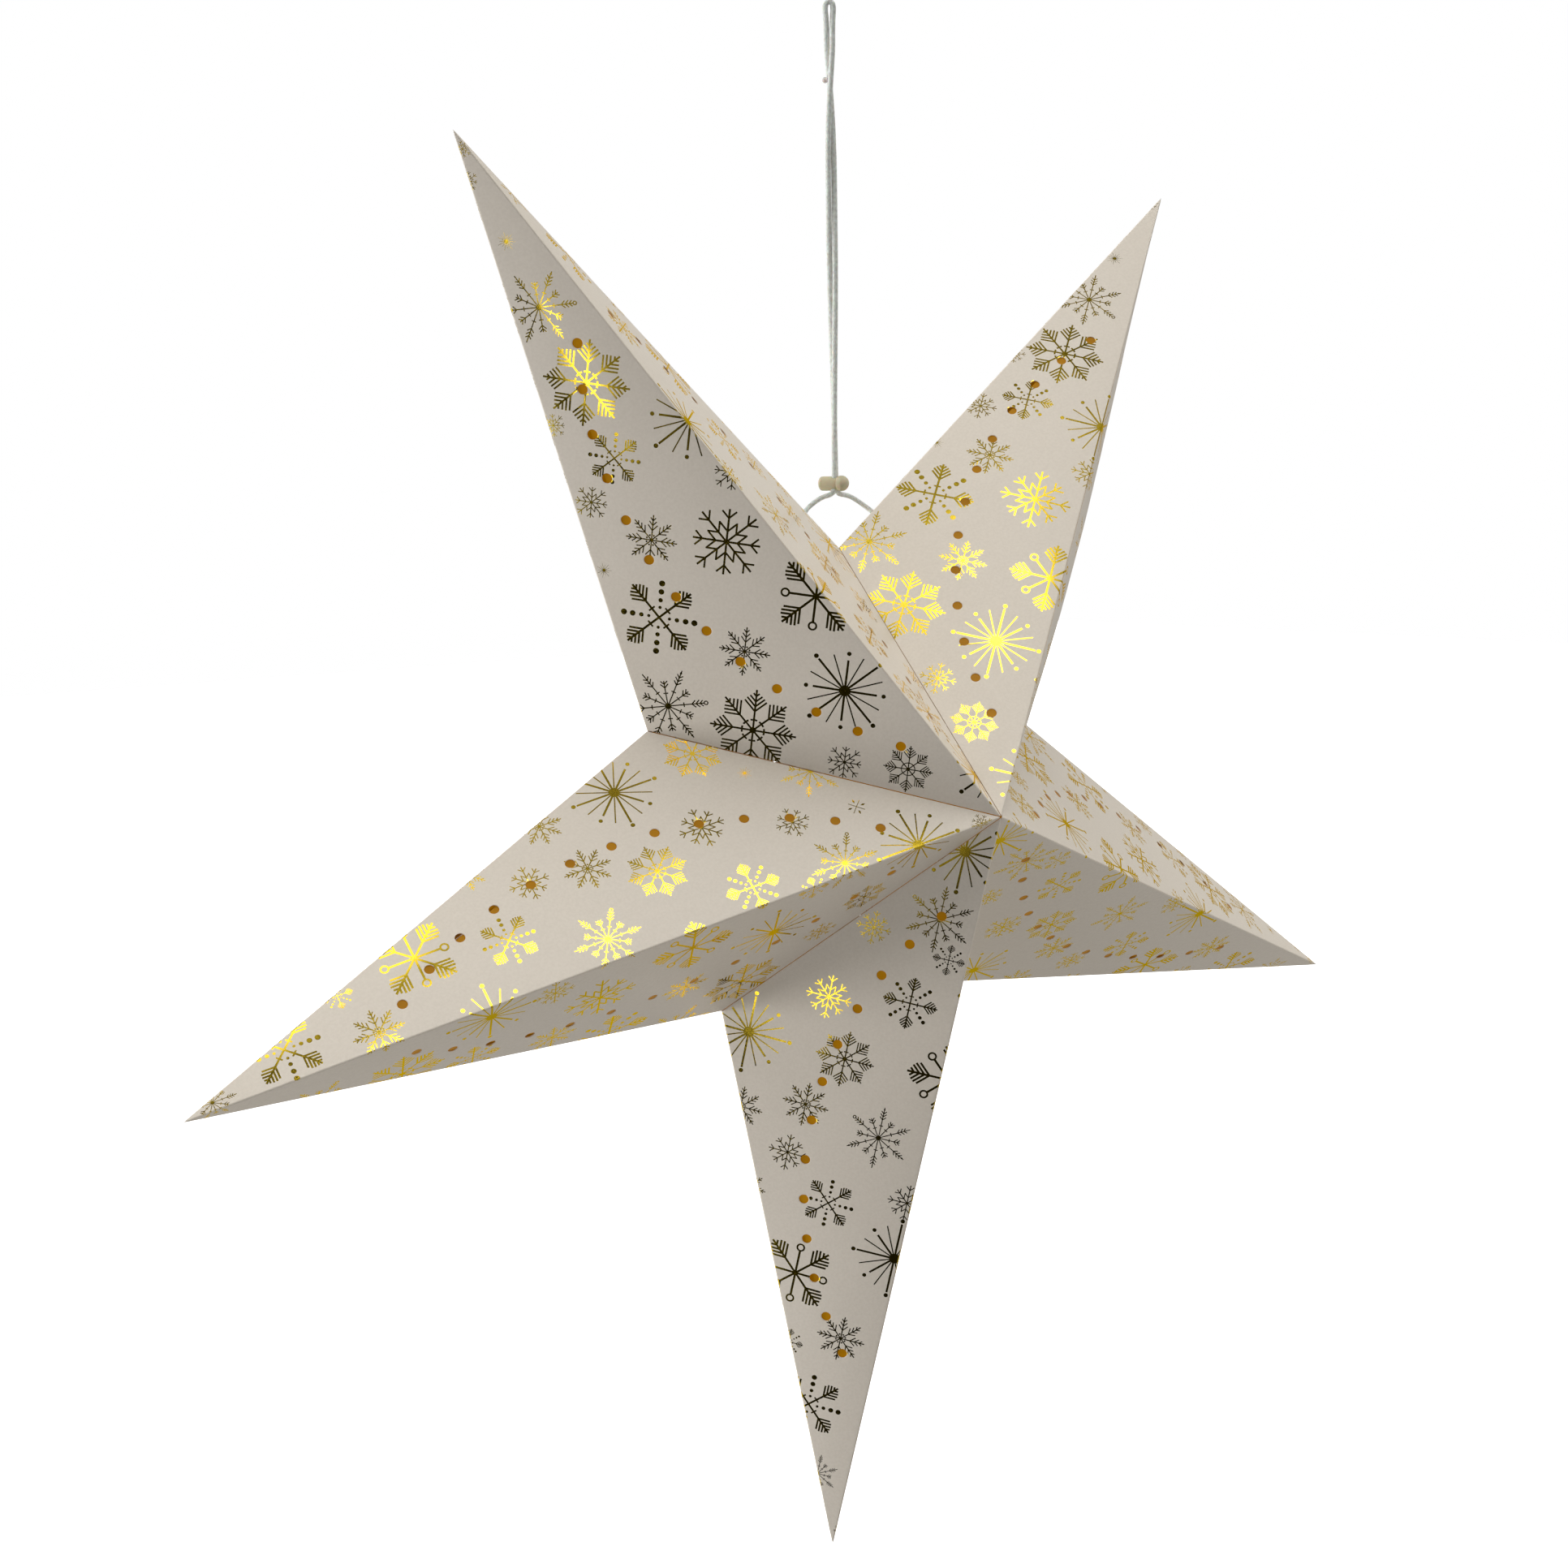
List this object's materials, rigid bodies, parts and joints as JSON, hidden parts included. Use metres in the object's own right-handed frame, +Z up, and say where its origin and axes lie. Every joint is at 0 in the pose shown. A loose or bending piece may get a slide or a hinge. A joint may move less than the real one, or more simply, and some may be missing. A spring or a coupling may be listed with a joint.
{
  "type": "folded paper star lantern",
  "caption": "Hanging folded-card star lantern with gold foil snowflakes, punched holes over amber film, a doubled cord and a sliding bead.",
  "frame": {"origin": "inside of the top of the hanging loop, where a hook carries the star", "axes": "+Z up, the front of the star towards -Y, +X to the right as seen from the front"},
  "size_m": [0.5983, 0.1956, 0.6348],
  "materials": {
    "card": "pearl white card, hot-foiled with gold snowflakes",
    "card_tab": "plain white back of the card",
    "film": "translucent amber film",
    "cord": "white braided polyester cord",
    "cord_seal": "melted cord end",
    "bead": "ivory moulded plastic"
  },
  "bodies": {
    "hanger": {"upper_left_arm_back_cw_panel": "card", "upper_left_arm_back_cw_film": "film", "hanging_cord": "cord", "left_cord_knot": "cord", "loop_seal": "cord_seal"},
    "upper_left_arm_front_ccw": {"upper_left_arm_front_ccw_panel": "card", "upper_left_arm_front_ccw_film": "film", "left_arm_front_glue_tab": "card_tab"},
    "upper_left_arm_front_cw": {"upper_left_arm_front_cw_panel": "card", "upper_left_arm_front_cw_film": "film"},
    "upper_left_arm_back_ccw": {"upper_left_arm_back_ccw_panel": "card", "upper_left_arm_back_ccw_film": "film", "left_arm_back_glue_tab": "card_tab"},
    "upper_right_arm_front_ccw": {"upper_right_arm_front_ccw_panel": "card", "upper_right_arm_front_ccw_film": "film"},
    "upper_right_arm_front_cw": {"upper_right_arm_front_cw_panel": "card", "upper_right_arm_front_cw_film": "film"},
    "upper_right_arm_back_ccw": {"upper_right_arm_back_ccw_panel": "card", "upper_right_arm_back_ccw_film": "film", "right_cord_knot": "cord"},
    "upper_right_arm_back_cw": {"upper_right_arm_back_cw_panel": "card", "upper_right_arm_back_cw_film": "film"},
    "right_arm_front_ccw": {"right_arm_front_ccw_panel": "card", "right_arm_front_ccw_film": "film", "upper_right_arm_front_glue_tab": "card_tab"},
    "right_arm_front_cw": {"right_arm_front_cw_panel": "card", "right_arm_front_cw_film": "film"},
    "right_arm_back_ccw": {"right_arm_back_ccw_panel": "card", "right_arm_back_ccw_film": "film", "upper_right_arm_back_glue_tab": "card_tab"},
    "right_arm_back_cw": {"right_arm_back_cw_panel": "card", "right_arm_back_cw_film": "film"},
    "bottom_arm_front_ccw": {"bottom_arm_front_ccw_panel": "card", "bottom_arm_front_ccw_film": "film", "right_arm_front_glue_tab": "card_tab"},
    "bottom_arm_front_cw": {"bottom_arm_front_cw_panel": "card", "bottom_arm_front_cw_film": "film"},
    "bottom_arm_back_ccw": {"bottom_arm_back_ccw_panel": "card", "bottom_arm_back_ccw_film": "film", "right_arm_back_glue_tab": "card_tab"},
    "bottom_arm_back_cw": {"bottom_arm_back_cw_panel": "card", "bottom_arm_back_cw_film": "film"},
    "left_arm_front_ccw": {"left_arm_front_ccw_panel": "card", "left_arm_front_ccw_film": "film", "bottom_arm_front_glue_tab": "card_tab"},
    "left_arm_front_cw": {"left_arm_front_cw_panel": "card", "left_arm_front_cw_film": "film"},
    "left_arm_back_ccw": {"left_arm_back_ccw_panel": "card", "left_arm_back_ccw_film": "film", "bottom_arm_back_glue_tab": "card_tab"},
    "left_arm_back_cw": {"left_arm_back_cw_panel": "card", "left_arm_back_cw_film": "film"},
    "bead": {"cord_lock_bead": "bead"}
  },
  "joints": [
    {"name": "upper_left_arm_cw_edge_crease", "type": "hinge", "parent": "hanger", "child": "upper_left_arm_front_cw", "pos_m": [-0.18051, 0, -0.05706], "axis": [-0.7505, 0, 0.6609], "range_deg": [0, 63.38]},
    {"name": "fold", "type": "hinge", "parent": "upper_left_arm_front_cw", "child": "upper_left_arm_front_ccw", "pos_m": [-0.0032, -0.098, -0.31795], "axis": [0.5368, -0.2967, -0.7898], "range_deg": [0, 65]},
    {"name": "upper_left_arm_ccw_edge_crease", "type": "hinge", "parent": "upper_left_arm_front_ccw", "child": "upper_left_arm_back_ccw", "pos_m": [-0.18051, 0, -0.05706], "axis": [-0.3382, 0, 0.9411], "range_deg": [0, 63.38]},
    {"name": "upper_left_to_left_seam", "type": "hinge", "parent": "upper_left_arm_front_ccw", "child": "left_arm_front_cw", "pos_m": [-0.0032, -0.098, -0.31795], "axis": [-0.6785, 0.6928, 0.2443], "range_deg": [0, 90.41]},
    {"name": "left_arm_ridge_crease", "type": "hinge", "parent": "left_arm_front_cw", "child": "left_arm_front_ccw", "pos_m": [-0.0032, -0.098, -0.31795], "axis": [0.9171, -0.2967, 0.2664], "range_deg": [0, 65.01]},
    {"name": "left_arm_cw_edge_crease", "type": "hinge", "parent": "left_arm_front_cw", "child": "left_arm_back_cw", "pos_m": [-0.30612, 0, -0.40595], "axis": [0.8604, 0, 0.5096], "range_deg": [0, 63.38]},
    {"name": "left_arm_ccw_edge_crease", "type": "hinge", "parent": "left_arm_front_ccw", "child": "left_arm_back_ccw", "pos_m": [-0.30612, 0, -0.40595], "axis": [-0.9995, 0, -0.0308], "range_deg": [0, 63.38]},
    {"name": "left_to_bottom_seam", "type": "hinge", "parent": "left_arm_front_ccw", "child": "bottom_arm_front_cw", "pos_m": [-0.0032, -0.098, -0.31795], "axis": [-0.442, 0.6928, -0.5698], "range_deg": [0, 90.41]},
    {"name": "bottom_arm_ridge_crease", "type": "hinge", "parent": "bottom_arm_front_cw", "child": "bottom_arm_front_ccw", "pos_m": [-0.0032, -0.098, -0.31795], "axis": [0.03, -0.2967, 0.9545], "range_deg": [0, 65.01]},
    {"name": "bottom_arm_cw_edge_crease", "type": "hinge", "parent": "bottom_arm_front_cw", "child": "bottom_arm_back_cw", "pos_m": [-0.01311, 0, -0.63323], "axis": [-0.2187, 0, 0.9758], "range_deg": [0, 63.38]},
    {"name": "bottom_arm_ccw_edge_crease", "type": "hinge", "parent": "bottom_arm_front_ccw", "child": "bottom_arm_back_ccw", "pos_m": [-0.01311, 0, -0.63323], "axis": [-0.2796, 0, -0.9601], "range_deg": [0, 63.38]},
    {"name": "bottom_to_right_seam", "type": "hinge", "parent": "bottom_arm_front_ccw", "child": "right_arm_front_cw", "pos_m": [-0.0032, -0.098, -0.31795], "axis": [0.4053, 0.6928, -0.5964], "range_deg": [0, 90.41]},
    {"name": "right_arm_ridge_crease", "type": "hinge", "parent": "right_arm_front_cw", "child": "right_arm_front_ccw", "pos_m": [-0.0032, -0.098, -0.31795], "axis": [-0.8985, -0.2967, 0.3235], "range_deg": [0, 65.01]},
    {"name": "right_arm_cw_edge_crease", "type": "hinge", "parent": "right_arm_front_cw", "child": "right_arm_back_cw", "pos_m": [0.29359, 0, -0.4248], "axis": [-0.9956, 0, 0.0935], "range_deg": [0, 63.38]},
    {"name": "right_arm_ccw_edge_crease", "type": "hinge", "parent": "right_arm_front_ccw", "child": "right_arm_back_ccw", "pos_m": [0.29359, 0, -0.4248], "axis": [0.8267, 0, -0.5626], "range_deg": [0, 63.38]},
    {"name": "right_to_upper_right_seam", "type": "hinge", "parent": "right_arm_front_ccw", "child": "upper_right_arm_front_cw", "pos_m": [-0.0032, -0.098, -0.31795], "axis": [0.6925, 0.6928, 0.2012], "range_deg": [0, 90.41]},
    {"name": "upper_right_arm_ridge_crease", "type": "hinge", "parent": "upper_right_arm_front_cw", "child": "upper_right_arm_front_ccw", "pos_m": [-0.0032, -0.098, -0.31795], "axis": [-0.5853, -0.2967, -0.7546], "range_deg": [0, 65.01]},
    {"name": "upper_right_arm_cw_edge_crease", "type": "hinge", "parent": "upper_right_arm_front_cw", "child": "upper_right_arm_back_cw", "pos_m": [0.19013, 0, -0.0687], "axis": [-0.3966, 0, -0.918], "range_deg": [0, 63.38]},
    {"name": "upper_right_arm_ccw_edge_crease", "type": "hinge", "parent": "upper_right_arm_front_ccw", "child": "upper_right_arm_back_ccw", "pos_m": [0.19013, 0, -0.0687], "axis": [0.7905, 0, 0.6124], "range_deg": [0, 63.38]},
    {"name": "bead_slide", "type": "slide", "parent": "hanger", "child": "bead", "axis": [0, 0, 1], "range_m": [0, 0.042]}
  ],
  "couplings": [
    {"joint": "upper_left_arm_cw_edge_crease", "follows": "fold", "ratio": 0.975},
    {"joint": "upper_left_arm_ccw_edge_crease", "follows": "fold", "ratio": 0.975},
    {"joint": "upper_left_to_left_seam", "follows": "fold", "ratio": 1.3907},
    {"joint": "left_arm_ridge_crease", "follows": "fold", "ratio": 1},
    {"joint": "left_arm_cw_edge_crease", "follows": "fold", "ratio": 0.975},
    {"joint": "left_arm_ccw_edge_crease", "follows": "fold", "ratio": 0.975},
    {"joint": "left_to_bottom_seam", "follows": "fold", "ratio": 1.3907},
    {"joint": "bottom_arm_ridge_crease", "follows": "fold", "ratio": 1},
    {"joint": "bottom_arm_cw_edge_crease", "follows": "fold", "ratio": 0.975},
    {"joint": "bottom_arm_ccw_edge_crease", "follows": "fold", "ratio": 0.975},
    {"joint": "bottom_to_right_seam", "follows": "fold", "ratio": 1.3907},
    {"joint": "right_arm_ridge_crease", "follows": "fold", "ratio": 1},
    {"joint": "right_arm_cw_edge_crease", "follows": "fold", "ratio": 0.975},
    {"joint": "right_arm_ccw_edge_crease", "follows": "fold", "ratio": 0.975},
    {"joint": "right_to_upper_right_seam", "follows": "fold", "ratio": 1.3907},
    {"joint": "upper_right_arm_ridge_crease", "follows": "fold", "ratio": 1},
    {"joint": "upper_right_arm_cw_edge_crease", "follows": "fold", "ratio": 0.975},
    {"joint": "upper_right_arm_ccw_edge_crease", "follows": "fold", "ratio": 0.975}
  ]
}
